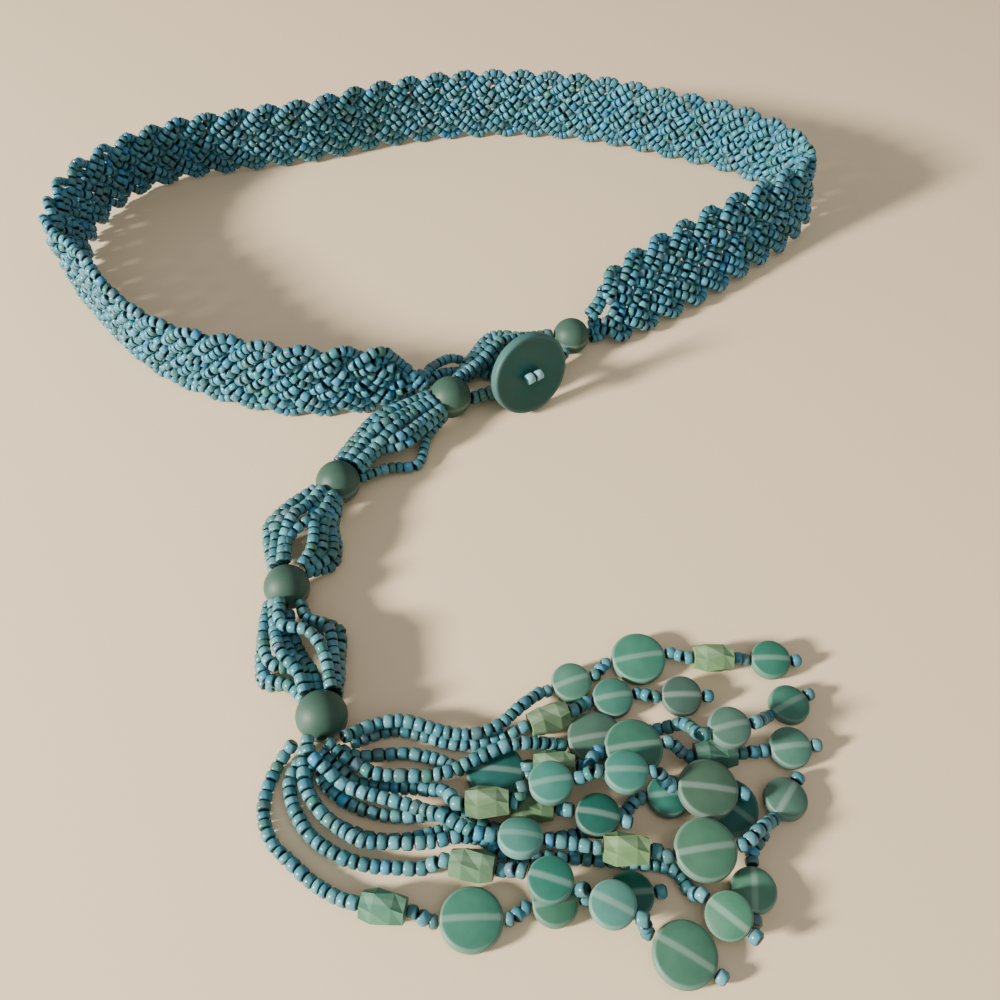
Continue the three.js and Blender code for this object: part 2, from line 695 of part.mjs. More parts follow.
function addStone(name, stop, geometries) {
  const mesh = addPiece(name, geometries[stop.kind].clone(), stones[stop.kind].finish);
  const level = up.clone().addScaledVector(stop.axis, -stop.axis.z).normalize();
  const near = stop.axis.clone().cross(level);
  const flat = level.multiplyScalar(Math.cos(stop.tilt)).addScaledVector(near, Math.sin(stop.tilt));
  const basis = new THREE.Matrix4().makeBasis(stop.axis, flat, stop.axis.clone().cross(flat));
  mesh.position.copy(stop.place);
  mesh.quaternion.setFromRotationMatrix(basis);
}

function addTassel() {
  const geometries = {
    large_disc: discStone(largeDiscDiameter),
    small_disc: discStone(smallDiscDiameter),
    faceted_tube: tubeStone(),
  };
  const counts = {};
  routes.tassel.forEach((route, row) => {
    const stops = stringStops(route);
    const number = String(row + 1).padStart(2, '0');
    addPiece(`tassel_string_${number}`, toGeometry(tasselString(stops)), 'seeds');
    stops.filter((stop) => stop.kind).forEach((stop) => {
      counts[stop.kind] = (counts[stop.kind] ?? 0) + 1;
      const count = String(counts[stop.kind]).padStart(2, '0');
      addStone(`${stop.kind}_${count}`, stop, geometries);
    });
  });
}

addBand();
addRoundBeads();
addHoles();
addButton();
addShank();
addTassel();

export default belt;
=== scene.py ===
import math
import random

import bpy
from mathutils import Matrix, Vector


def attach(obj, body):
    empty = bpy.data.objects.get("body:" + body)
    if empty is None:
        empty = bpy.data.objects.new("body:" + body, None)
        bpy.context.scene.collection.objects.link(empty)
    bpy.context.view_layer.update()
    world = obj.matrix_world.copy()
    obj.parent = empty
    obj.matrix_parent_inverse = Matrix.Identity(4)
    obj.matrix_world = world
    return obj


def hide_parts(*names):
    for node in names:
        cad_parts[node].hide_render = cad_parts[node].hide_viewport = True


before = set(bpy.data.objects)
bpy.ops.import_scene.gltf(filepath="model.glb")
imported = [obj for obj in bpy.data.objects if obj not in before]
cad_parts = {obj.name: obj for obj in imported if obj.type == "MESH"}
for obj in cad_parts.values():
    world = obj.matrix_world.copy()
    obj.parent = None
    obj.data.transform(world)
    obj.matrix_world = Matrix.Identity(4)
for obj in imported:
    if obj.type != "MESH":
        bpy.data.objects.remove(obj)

random.seed(7)
MM = 0.001
UP = Vector((0, 0, 1))

# Camera, first: low over the front of the belt

camera_data = bpy.data.cameras.new("camera")
camera = bpy.data.objects.new("camera", camera_data)
bpy.context.scene.collection.objects.link(camera)
camera.location = (0.0207, -0.34475, 0.2414)
camera.rotation_euler = (math.radians(41), 0, 0)
camera_data.sensor_width = 36
camera_data.lens = 36
camera_data.clip_start = 0.01
bpy.context.scene.camera = camera

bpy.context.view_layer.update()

# Sizes, in millimetres, as on the belt's solids

SEED = 3.6
PITCH = 2.75
PIECE_GAP = 0.3
LOOP_LENGTH = 303
LOOP_DEPTH = 187
BAND_WIDTH = 32
BAND_THICKNESS = 6.6
SCALLOP = 12.8
PAIRS = 5
RIGHT_END_GAP = 1.1
LEFT_END_GAP = 2.9
ROUND_BEAD = 14
CLUSTER_WIDTH = 26
CLUSTER_HEIGHT = 11.5
CUSHION = 0.1
BUTTON = 28.8
BUTTON_THICK = 3.6
BUTTON_HOLES = 5.2
BUTTON_LEAN = 12.4
BUTTON_TURN = -56.4
BUTTON_REACH = 13.6
BUTTON_SHIFT = -2.3
LARGE_DISC = 15
SMALL_DISC = 11
DISC_THICK = 4.2
TUBE_LENGTH = 10.6
TUBE_WIDTH = 8
LEAD = 2.2
LEAD_SHARE = 0.4
STONE_SLOPE = 0.25
FRONT_SEED = 3.4
BEAD_SIZES = (0.93, 1.02, 0.99, 0.95, 0.98)
BEAD_BORE = 1.2

# How uneven the seed beads are: in length on their string, in turn, in fit and in width

UNEVEN_LENGTH = 0.24
LOOSE_TURN = 0.08
SHORTEST, LONGEST = 0.62, 1.34
CLOSE_FIT = (0.95, 1.01)
UNEVEN_WIDTH = (0.94, 1.03)
UNEVEN_SIZE = 0.03

# How the strings leave a round bead, and how far they wander from their way

MOUTH_RING = 4.4
MOUTH_SHARE = 0.62
WANDER = 0.05
FIRST_QUARTER, LAST_QUARTER = 0.22, 0.78
QUARTER_SPREAD = 0.72
DROOP_LATER, DROOP_WIDER = 0.07, 0.2

# The plait: how a pair of strings runs from edge to edge, and how its ends are gathered

PAIR_SPACING = 3.6
TURN_RADIUS = 4.8
PLAIT_SWING = (BAND_WIDTH - PAIR_SPACING - SEED) / 2
PLAIT_ANGLE = math.radians(40.1)
PLAIT_STEP = 0.8
PLAIT_LAYER = 1.5
TAPER_LAYER = 0.8
TRIM_RIGHT = (0, 10, 0, 12, 0)
TRIM_LEFT = (0, 7, 0, 0, 9)
GATHER_LENGTH = 12
GATHER_RIGHT = 0.75
GATHER_LEFT = 0.55
LOWER_BULGE = 0.15

# The band's way round the loop: x, y as shares of the loop's length and depth, lean in
# degrees, and width as a share of the band's width. Its two ends lie by the round beads that
# they meet: bead number, direction from the bead's middle in degrees, and gap
BAND_START = (0, 3, RIGHT_END_GAP, 50, 0.52)
BAND_STOP = (1, 149, LEFT_END_GAP, 0, 0.58)
BAND_ROWS = [
    (0.218, -0.315, 50, 0.79), (0.272, -0.258, 48, 0.95), (0.34, -0.171, 42, 1),
    (0.405, -0.072, 29, 1), (0.458, 0.016, 18, 1), (0.49, 0.109, 8, 1), (0.472, 0.21, 2, 1),
    (0.409, 0.309, 0, 1), (0.319, 0.383, 0, 1), (0.213, 0.453, 0, 1), (0.098, 0.484, 0, 1),
    (-0.014, 0.472, 0, 1), (-0.121, 0.427, 4, 1), (-0.204, 0.37, 8, 1), (-0.295, 0.331, 10, 1),
    (-0.381, 0.293, 12, 1), (-0.441, 0.233, 13, 1), (-0.474, 0.146, 7, 1),
    (-0.485, 0.053, -4, 1), (-0.476, -0.045, -13, 1), (-0.469, -0.139, -8, 1),
    (-0.43, -0.232, 0, 1), (-0.38, -0.326, -4, 1), (-0.326, -0.408, -5, 1),
    (-0.272, -0.46, -4, 1), (-0.219, -0.493, 0, 1), (-0.172, -0.513, 0, 1),
    (-0.117, -0.511, -2, 0.96), (-0.063, -0.496, 0, 0.86),
]

# Routes of the bead strings. The strings of each buttonhole are (side at its
# first quarter, at its middle, at its last quarter, rise, droop): shares of half its width, to
# the near side when positive, a share of its height, and 1 where it swings back late and
# sharply to the next round bead
FIRST_BEAD = (0.1531, -0.3332)
CHAIN = [(-42.7, -32.2), (-34.1, -39), (-10.4, -40.8), (14.9, -41.5)]
HOLES = [
    [
        (0.78, 0.78, 0.78, 0.17, 0), (0.86, 0.86, 0.86, 0.5, 0), (0.5, 0.5, 0.5, 0.17, 0),
        (-1.08, -1.08, -1.08, 0.56, 0), (-0.8, -0.98, -1.1, 0.9, 0), (-0.95, -0.7, -0.5, 1.02, 0),
        (-1.2, -1.24, -1.1, 0.84, 0), (-0.6, -0.62, -0.6, 0.66, 0), (-0.8, -0.84, -0.8, 0.34, 0),
    ],
    [
        (0.9, 1.12, 1, 0.17, 0), (0.75, 0.62, 0.5, 0.66, 0), (0.1, 0.2, 0.35, 0.98, 0),
        (-0.6, -0.36, -0.1, 1.03, 0), (-0.95, -0.9, -0.8, 0.5, 0), (0.5, 0.48, 0.1, 0.86, 0),
        (-0.2, -0.08, -0.4, 1.0, 0), (-0.85, -0.66, -0.6, 0.8, 0), (-1.05, -1, -0.9, 0.2, 0),
    ],
    [
        (0.9, 0.98, 1.1, 0.2, 1), (0.7, 0.66, 0.85, 0.78, 1), (0.45, 0.1, -0.1, 1.02, 0),
        (-0.2, -0.5, -0.6, 0.92, 0), (-0.9, -0.98, -0.9, 0.46, 0), (0.85, 0.94, 1.15, 0.5, 1),
        (0.2, 0.42, 0.6, 0.95, 1), (-0.1, -0.16, -0.25, 1.08, 0), (-0.9, -0.74, -0.5, 0.74, 0),
        (-1.1, -1.05, -0.95, 0.17, 0),
    ],
    [
        (0.9, 1.09, 0.95, 0.2, 0), (0.8, 0.84, 0.75, 0.8, 0), (-0.15, 0.36, 0.5, 1.06, 0),
        (-0.4, -0.5, -0.55, 0.96, 0), (-0.95, -1.08, -0.95, 0.44, 0), (0.9, 1.1, 0.9, 0.52, 0),
        (-0.8, -0.8, -0.35, 0.76, 0), (-0.95, -1.1, -0.95, 0.17, 0), (0.1, 0.02, -0.1, 0.3, 0),
        (-0.2, -0.2, -0.1, 0.6, 0),
    ],
]
SHANK = [
    [
        (-27.4, -3.2, 9.4), (-21.5, 3.6, 7), (-14.6, 5.8, 3), (-5, 3.6, 2.4), (1.6, 0.4, 5),
        (5.4, -2.6, 9.4),
    ],
    [
        (-25.6, -6.4, 8.4), (-20.5, -1.4, 5), (-14, 1.6, 2.4), (-7, -0.2, 2.4), (-2.6, -2.4, 5),
        (0.4, -5.2, 9.4),
    ],
]
TASSEL = [
    [
        (6.2, -7, 6.5), (13, -2, 3.8), (20, -0.5, 3.8), (26.5, -2, 3.8), (33, -4, 3.8),
        (39, -4.5, 3.8), (46, -2, 3.8), (52, 3.6, 3.8), (57, 8.8, 1.4),
        (66, 12.4, 0.1, "small_disc", 6), (85, 20, 0.1, "large_disc", 4),
        (105.5, 19.5, 0.1, "faceted_tube", 0), (121.5, 19.5, 0.1, "small_disc", 8),
    ],
    [
        (7.4, -5.4, 0.3), (13, -3, 0.1), (19.5, -1.5, 0.1), (26.5, -3, 0.1), (32.5, -5, 0.1),
        (39, -5.5, 0.1), (46, -4, 0.2), (59.5, 0.8, 0.1, "faceted_tube", 0),
        (77, 7.7, 0.1, "small_disc", 5), (95.5, 8, 0.1, "small_disc", 10),
    ],
    [
        (2.6, -8.6, 8), (7, -11.7, 5.7), (11, -13.5, 3.9), (15.5, -15.5, 3.9), (21.5, -16, 3.9),
        (29, -16, 3.9), (35, -14.5, 4.1), (42.5, -11, 5), (49.5, -8.2, 5.3), (57, -6.7, 3.4),
        (71.6, -4.3, 0.1, "large_disc", 0), (83, -2, 0.1), (89, -1.2, 0.4), (94.5, -2, 4.6),
        (105, -5.6, 8.5, "small_disc", 4), (124, 5.5, 0.1, "small_disc", 5),
    ],
    [
        (5.2, -8.3, 3.1), (9.5, -9.4, 0.8), (14.5, -8.6, 0.1), (23, -8.2, 0.1),
        (31, -10, 0.1), (45.4, -13.4, 0.1, "large_disc", 0),
        (60.5, -12.8, 0.1, "faceted_tube", 0), (69, -14.8, 7.2), (80.6, -9.5, 5.2, "large_disc", 3),
        (102, -9.5, 0.1, "faceted_tube", 0), (122, -7, 0.1, "small_disc", 6),
    ],
    [
        (0.8, -9.8, 5), (3.6, -12.4, 4.8), (6.6, -14.8, 3.9), (10.4, -16.6, 1), (15, -17, 0.1),
        (22, -17.6, 0.1), (28, -18.6, 1.2), (33, -20.4, 4.2), (43.5, -24.5, 4.7, "faceted_tube", 0),
        (59, -20.5, 8.7, "small_disc", 0), (77.5, -18.5, 10.5, "small_disc", 0),
        (98, -20.6, 4.8, "large_disc", 4),
    ],
    [
        (2.7, -9.4, 0.1), (0.9, -14.6, 0.1), (5.4, -19.6, 0.1), (10.5, -22.6, 0.1),
        (14.5, -24, 0.1), (19, -25, 0.1), (25, -25, 0.1), (31, -24.4, 0.1),
        (38, -23.5, 0.1), (43, -23.3, 0.1), (54.8, -23.4, 0.1, "faceted_tube", 0),
        (70.5, -27, 4.4, "small_disc", 0),
    ],
    [
        (-3.4, -8.6, 5.6), (-3.2, -13.7, 4.4), (-1.6, -20, 3.9), (3, -26, 3.9), (9, -30.5, 3.9),
        (14, -33, 3.9), (19, -33.2, 3.9), (25, -33.5, 3.9), (31, -33, 3.9), (37, -31.6, 3.3),
        (43, -31.5, 0.6), (48.5, -35, 0.1), (60, -35.6, 0.1), (70, -36, 0.1),
        (87, -38, 0.1), (91.8, -43.8, 0.2), (99.2, -50.4, 1.6, "small_disc", 20),
    ],
    [
        (-2.4, -8, 9.4), (-1, -12.4, 8.9), (3, -15.6, 7.2), (6.5, -17.8, 4.2), (10.5, -19.8, 3.9),
        (16, -21.5, 3.9), (21.5, -23, 3.9), (27, -24.8, 4.2), (33.5, -27.8, 5.9), (40, -31.6, 6.4),
        (51.5, -32.9, 4.1, "small_disc", -16), (62, -33.8, 5.5),
        (76.5, -36, 4.3, "faceted_tube", 0), (95.2, -36.2, 5.7, "large_disc", 5),
        (109, -31, 6), (113.8, -26.8, 2), (118.2, -21, 0.1, "small_disc", 4),
    ],
    [
        (-5, -10.4, 0.2), (-7, -15.5, 0.1), (-5.2, -22.5, 0.1), (0, -30, 0.1), (7.5, -35, 0.1),
        (15, -37.4, 0.1), (22.5, -38, 0.1), (28.5, -38, 0.3), (40, -38.2, 0.1, "faceted_tube", 0),
        (58.4, -42.8, 4.7, "small_disc", 3), (72.5, -48.5, 4.9, "small_disc", 4),
        (88.5, -58, 0.1, "large_disc", 0),
    ],
    [
        (-6.6, -6.4, 3.2), (-9.4, -9.4, 0.8), (-11.6, -14.5, 0.1), (-12.6, -20, 0.1),
        (-12, -26, 0.1), (-9, -32, 0.1), (-3.5, -37, 0.1), (2, -41.5, 0.1), (8, -45, 0.5),
        (19.5, -48, 0.1, "faceted_tube", 0), (40, -50.2, 0, "large_disc", 0),
        (59.5, -46.5, 0, "small_disc", 0), (77.5, -44.5, 0, "small_disc", 0),
    ],
    [
        (-1.3, -9.9, 0.6), (-3, -15, 0.1), (-0.5, -20.8, 0.1), (4, -26, 0.1),
        (10.5, -29.2, 0.1), (16, -31, 0.1), (23.5, -31, 0.1), (30, -29.4, 0.1), (36, -27.7, 0.1),
        (42, -27.5, 0.1), (47.5, -29.2, 0.1), (52, -30.4, 0.1), (58, -30.9, 0.1), (66, -29.6, 0.1),
        (76, -25.4, 0.1), (89, -20, 0.1, "small_disc", 0), (103.6, -22.9, 0.1, "large_disc", 0),
        (107.6, -34.5, 0.1), (106.5, -43.5, 0.1, "small_disc", 0),
    ],
]

# Colours of the stones, string by string from the round bead outwards
STONE_COLOURS = [
    ["4E7F6C", "3F7A66", "6E8F66", "2F6F5C"],
    ["66805F", "3F7566", "3E5A50"],
    ["48685A", "4F7264", "3E7563"],
    ["1F5A55", "5F7F5C", "3A6E5A", "42695A", "4C7A68"],
    ["64805E", "3E7F72", "3E7F72", "42604E"],
    ["55704F", "155448"],
    ["3B6F57"],
    ["4F8C80", "6F8F62", "45705A", "4E7263"],
    ["5F7F60", "23695A", "4B8377", "46745F"],
    ["4F8068", "3C7663", "3A6C55", "14594C"],
    ["2A6A5C", "1F5D54", "4F7E68"],
]


# Small helpers for lines in space

def smooth(points, per_span=12):
    """A smooth line through the points, as many short steps."""
    if len(points) == 2:
        return [points[0].lerp(points[1], i / per_span) for i in range(per_span + 1)]
    ends = [2 * points[0] - points[1], *points, 2 * points[-1] - points[-2]]
    line = []
    for span in range(len(points) - 1):
        a, b, c, d = ends[span:span + 4]
        start, stop = (c - a) / 2, (d - b) / 2
        for step in range(per_span):
            t = step / per_span
            line.append(
                b * (2 * t ** 3 - 3 * t ** 2 + 1) + start * (t ** 3 - 2 * t ** 2 + t)
                + c * (3 * t ** 2 - 2 * t ** 3) + stop * (t ** 3 - t ** 2)
            )
    line.append(points[-1].copy())
    return line


def lengths(line):
    out = [0.0]
    for a, b in zip(line, line[1:]):
        out.append(out[-1] + (b - a).length)
    return out


def places_along(line):
    """Bead places on a line: (place, direction, room for the bead), the beads uneven in length."""
    marks = lengths(line)
    count = max(1, round(marks[-1] / PITCH))
    rooms = [random.uniform(1 - UNEVEN_LENGTH, 1 + UNEVEN_LENGTH) for _ in range(count)]
    stretch = marks[-1] / sum(rooms)
    found = []
    span = 0
    reached = 0.0
    for room in rooms:
        at = reached + room * stretch / 2
        reached += room * stretch
        while span < len(line) - 2 and marks[span + 1] < at:
            span += 1
        part = marks[span + 1] - marks[span]
        share = (at - marks[span]) / part if part else 0
        place = line[span].lerp(line[span + 1], share)
        ahead = line[min(span + 2, len(line) - 1)] - line[max(span - 1, 0)]
        found.append((place, ahead.normalized(), room * stretch))
    return found


# Round beads

BEADS = [Vector((FIRST_BEAD[0] * LOOP_LENGTH, FIRST_BEAD[1] * LOOP_DEPTH, ROUND_BEAD / 2))]
for dx, dy in CHAIN:
    BEADS.append(BEADS[-1] + Vector((dx, dy, 0)))


# The way round the loop

def band_end(bead, side, gap, lean, width):
    reach = ROUND_BEAD / 2 + gap
    angle = math.radians(side)
    place = BEADS[bead] + Vector((reach * math.cos(angle), reach * math.sin(angle), 0))
    return place.x / LOOP_LENGTH, place.y / LOOP_DEPTH, lean, width


class Band:
    """Places on the flat of the band: along it from its right end, and up from its lower edge."""

    def __init__(self):
        rows = [band_end(*BAND_START), *BAND_ROWS, band_end(*BAND_STOP)]
        self.base = smooth([Vector((x * LOOP_LENGTH, y * LOOP_DEPTH, 0)) for x, y, _, _ in rows], 24)
        self.form = smooth([Vector((math.radians(lean), width, 0)) for _, _, lean, width in rows], 24)
        self.marks = lengths(self.base)
        self.length = self.marks[-1]
        self.span = 0

    def at(self, along):
        along = min(max(along, 0.0), self.length)
        if along < self.marks[self.span]:
            self.span = 0
        while self.span < len(self.base) - 2 and self.marks[self.span + 1] < along:
            self.span += 1
        i = self.span
        share = (along - self.marks[i]) / (self.marks[i + 1] - self.marks[i])
        base = self.base[i].lerp(self.base[i + 1], share)
        lean, width, _ = self.form[i].lerp(self.form[i + 1], share)
        ahead = (self.base[min(i + 2, len(self.base) - 1)] - self.base[max(i - 1, 0)]).normalized()
        inward = UP.cross(ahead)
        rise = inward * math.sin(lean) + UP * math.cos(lean)
        face = inward * math.cos(lean) - UP * math.sin(lean)
        width *= BAND_WIDTH
        corners = [
            height * rise.z + out * BAND_THICKNESS / 2 * face.z
            for height, out in (
                (0, 0.5), (0, -0.5), (LOWER_BULGE * width, 1), (LOWER_BULGE * width, -1),
            )
        ]
        return base, ahead, rise, face, width, -min(corners)

    def place(self, along, height, out):
        base, _, rise, face, _, lift = self.at(along)
        return base + rise * height + face * out + UP * lift


band = Band()


def middle_of_band(along):
    base, _, rise, _, width, _ = band.at(along)
    return base + rise * (width / 2)


# The way each round bead is threaded, and the buttonholes between them

AXES = []
for number, place in enumerate(BEADS):
    before = BEADS[number - 1] if number else middle_of_band(0)
    before = Vector((before.x, before.y, ROUND_BEAD / 2))
    after = BEADS[number + 1] if number + 1 < len(BEADS) else place + Vector((0, -1, 0))
    AXES.append(((place - before).normalized() + (after - place).normalized()).normalized())


def mouth(number, side):
    return BEADS[number] + AXES[number] * side * (ROUND_BEAD / 2 + PIECE_GAP + SEED / 2)


def by_the_bead(number, side, offset):
    """Where a string leaves a round bead: its first seed lies on the bead, on the offset's side."""
    reach = ROUND_BEAD / 2 + PIECE_GAP
    ring = min(MOUTH_RING, offset.length * MOUTH_SHARE)
    return (
        BEADS[number] + AXES[number] * side * math.sqrt(reach * reach - ring * ring)
        + offset.normalized() * ring
    )


def hole_line(hole):
    start, stop = mouth(hole, 1), mouth(hole + 1, -1)
    pull = (stop - start).length / 3
    return start, start + AXES[hole] * pull, stop - AXES[hole + 1] * pull, stop


def bezier(points, t):
    a, b, c, d = points
    return a * (1 - t) ** 3 + b * 3 * t * (1 - t) ** 2 + c * 3 * t * t * (1 - t) + d * t ** 3


def hole_string(hole, first, middle, last, rise, droop):
    points = hole_line(hole)
    height = max(rise * CLUSTER_HEIGHT, SEED / 2 + CUSHION) - ROUND_BEAD / 2
    half = (CLUSTER_WIDTH - SEED) / 2
    stations = [
        (FIRST_QUARTER, QUARTER_SPREAD, first),
        (0.5, 1, middle),
        (LAST_QUARTER + DROOP_LATER * droop, QUARTER_SPREAD + DROOP_WIDER * droop, last),
    ]
    start = near_side(AXES[hole]) * first * half + UP * height
    stop = near_side(AXES[hole + 1]) * last * half + UP * height
    way = [by_the_bead(hole, 1, start)]
    for along, spread, side in stations:
        ahead = (bezier(points, along + 0.02) - bezier(points, along - 0.02)).normalized()
        side += random.uniform(-WANDER, WANDER)
        lift = max(height + random.uniform(-WANDER, WANDER) * CLUSTER_HEIGHT, SEED / 2 - ROUND_BEAD / 2)
        way.append(
            bezier(points, along + random.uniform(-WANDER, WANDER) / 2)
            + near_side(ahead) * side * spread * half
            + UP * lift * spread
        )
    way.append(by_the_bead(hole + 1, -1, stop))
    return smooth(way)


def near_side(ahead):
    return -ahead.cross(UP).normalized()


# The button leaning on the first buttonhole

hole_middle = bezier(hole_line(0), 0.5)
lean, turn = math.radians(BUTTON_LEAN), math.radians(BUTTON_TURN)
button_normal = Vector((
    math.cos(lean) * math.cos(turn), math.cos(lean) * math.sin(turn), math.sin(lean),
))
button_place = Vector((
    hole_middle.x + BUTTON_REACH * math.cos(turn) - BUTTON_SHIFT * math.sin(turn),
    hole_middle.y + BUTTON_REACH * math.sin(turn) + BUTTON_SHIFT * math.cos(turn),
    (BUTTON * math.cos(lean) + BUTTON_THICK * math.sin(lean)) / 2 + PIECE_GAP / 2,
))
button_across = UP.cross(button_normal).normalized()


# The stops of the tassel's strings, each stone with its place and turn

STONES = {
    "large_disc": (LARGE_DISC / 2, DISC_THICK),
    "small_disc": (SMALL_DISC / 2, DISC_THICK),
    "faceted_tube": (TUBE_LENGTH / 2, TUBE_WIDTH),
}


def rest_height(kind, axis, tilt):
    half, thick = STONES[kind]
    level = math.hypot(axis.x, axis.y)
    if kind == "faceted_tube":
        return half * abs(axis.z) + thick / 2 * level
    facing = level * math.cos(tilt)
    return half * math.sqrt(max(0, 1 - facing * facing)) + thick / 2 * facing


def string_stops(route):
    stops = []
    for x, y, lift, *stone in route:
        kind, tilt = stone if stone else (None, 0)
        thick = STONES[kind][1] if kind else SEED
        stops.append({
            "place": BEADS[-1] + Vector((x, y, lift + thick / 2 - ROUND_BEAD / 2)),
            "lift": lift, "kind": kind, "tilt": math.radians(tilt),
        })
    for row, stop in enumerate(stops):
        if stop["kind"]:
            after = stops[min(row + 1, len(stops) - 1)]
            axis = after["place"] - stops[row - 1]["place"]
            axis.z *= STONE_SLOPE
            stop["axis"] = axis.normalized()
    for stop in stops:
        if stop["kind"]:
            stop["place"] = stop["place"].copy()
            stop["place"].z = stop["lift"] + rest_height(stop["kind"], stop["axis"], stop["tilt"])
            reach = STONES[stop["kind"]][0] + PIECE_GAP
            stop["entry"] = stop["place"] - stop["axis"] * reach
            stop["exit"] = stop["place"] + stop["axis"] * reach
    return stops


def seed_run(start, between, stop):
    points = ([start["exit"]] if start else []) + between + [stop["entry"]]
    out_lead = min(LEAD, LEAD_SHARE * (points[1] - points[0]).length)
    in_lead = min(LEAD, LEAD_SHARE * (points[-1] - points[-2]).length)
    points.insert(len(points) - 1, stop["entry"] - stop["axis"] * in_lead)
    if start:
        points.insert(1, start["exit"] + start["axis"] * out_lead)
    return smooth(points)


# Nodes that set a bead on each point of a piece

def bead_nodes():
    tree = bpy.data.node_groups.new("beads on points", "GeometryNodeTree")
    face = tree.interface
    face.new_socket("Geometry", in_out="INPUT", socket_type="NodeSocketGeometry")
    face.new_socket("Bead", in_out="INPUT", socket_type="NodeSocketObject")
    face.new_socket("Finish", in_out="INPUT", socket_type="NodeSocketMaterial")
    size = face.new_socket("Uneven size", in_out="INPUT", socket_type="NodeSocketFloat")
    size.default_value = 0.05
    seed = face.new_socket("Seed", in_out="INPUT", socket_type="NodeSocketInt")
    seed.default_value = 3
    face.new_socket("Geometry", in_out="OUTPUT", socket_type="NodeSocketGeometry")
    node, link = tree.nodes.new, tree.links.new
    given = node("NodeGroupInput")
    result = node("NodeGroupOutput")
    points = node("GeometryNodeMeshToPoints")
    link(given.outputs["Geometry"], points.inputs["Mesh"])
    bead = node("GeometryNodeObjectInfo")
    link(given.outputs["Bead"], bead.inputs["Object"])
    aim = node("GeometryNodeInputNamedAttribute")
    aim.data_type = "FLOAT_VECTOR"
    aim.inputs["Name"].default_value = "aim"
    turn = node("FunctionNodeAlignRotationToVector")
    turn.axis = "Z"
    link(aim.outputs["Attribute"], turn.inputs["Vector"])
    wide = node("GeometryNodeInputNamedAttribute")
    wide.data_type = "FLOAT_VECTOR"
    wide.inputs["Name"].default_value = "bead_scale"
    uneven = node("FunctionNodeRandomValue")
    uneven.data_type = "FLOAT"
    low = node("ShaderNodeMath")
    low.operation = "SUBTRACT"
    low.inputs[0].default_value = 1
    high = node("ShaderNodeMath")
    high.operation = "ADD"
    high.inputs[0].default_value = 1
    link(given.outputs["Uneven size"], low.inputs[1])
    link(given.outputs["Uneven size"], high.inputs[1])
    link(low.outputs[0], uneven.inputs[2])
    link(high.outputs[0], uneven.inputs[3])
    link(given.outputs["Seed"], uneven.inputs["Seed"])
    scale = node("ShaderNodeVectorMath")
    scale.operation = "SCALE"
    link(wide.outputs["Attribute"], scale.inputs[0])
    link(uneven.outputs[1], scale.inputs["Scale"])
    place = node("GeometryNodeInstanceOnPoints")
    link(points.outputs["Points"], place.inputs["Points"])
    link(bead.outputs["Geometry"], place.inputs["Instance"])
    link(turn.outputs["Rotation"], place.inputs["Rotation"])
    link(scale.outputs["Vector"], place.inputs["Scale"])
    real = node("GeometryNodeRealizeInstances")
    link(place.outputs["Instances"], real.inputs["Geometry"])
    finish = node("GeometryNodeSetMaterial")
    link(real.outputs["Geometry"], finish.inputs["Geometry"])
    link(given.outputs["Finish"], finish.inputs["Material"])
    link(finish.outputs["Geometry"], result.inputs["Geometry"])
    return tree


def new_object(name, vertices, faces, material=None, smooth_faces=True):
    mesh = bpy.data.meshes.new(name)
    mesh.from_pydata([tuple(v) for v in vertices], [], faces)
    mesh.update()
    if material:
        mesh.materials.append(material)
    for polygon in mesh.polygons:
        polygon.use_smooth = smooth_faces
    thing = bpy.data.objects.new(name, mesh)
    bpy.context.scene.collection.objects.link(thing)
    return thing


def lathed(profile, sides, closed_profile):
    """Vertices and outward faces of a profile (r, z) turned about Z, walked upwards outside."""
    vertices, faces, rings = [], [], []
    for r, z in profile:
        if r == 0:
            rings.append([len(vertices)] * sides)
            vertices.append(Vector((0, 0, z)))
            continue
        rings.append(list(range(len(vertices), len(vertices) + sides)))
        for side in range(sides):
            angle = 2 * math.pi * side / sides
            vertices.append(Vector((r * math.cos(angle), r * math.sin(angle), z)))
    pairs = list(zip(rings, rings[1:]))
    if closed_profile:
        pairs.append((rings[-1], rings[0]))
    for low, high in pairs:
        for side in range(sides):
            following = (side + 1) % sides
            corners = [low[side], low[following], high[following], high[side]]
            kept = list(dict.fromkeys(corners))
            if len(kept) > 2:
                faces.append(kept)
    return vertices, faces


# Finishes

def rgb(code):
    def linear(part):
        c = int(part, 16) / 255
        return c / 12.92 if c <= 0.04045 else ((c + 0.055) / 1.055) ** 2.4
    return linear(code[0:2]), linear(code[2:4]), linear(code[4:6]), 1


def plain_material(name, code, roughness):
    material = bpy.data.materials.new(name)
    material.use_nodes = True
    shader = material.node_tree.nodes["Principled BSDF"]
    shader.inputs["Base Color"].default_value = rgb(code)
    shader.inputs["Roughness"].default_value = roughness
    return material, material.node_tree.nodes, material.node_tree.links, shader


def ramp(nodes, stops, mode="LINEAR"):
    node = nodes.new("ShaderNodeValToRGB")
    node.color_ramp.interpolation = mode
    elements = node.color_ramp.elements
    while len(elements) < len(stops):
        elements.new(0.5)
    for element, (position, colour) in zip(elements, stops):
        element.position = position
        element.color = rgb(colour)
    return node


SHINE = 0.3

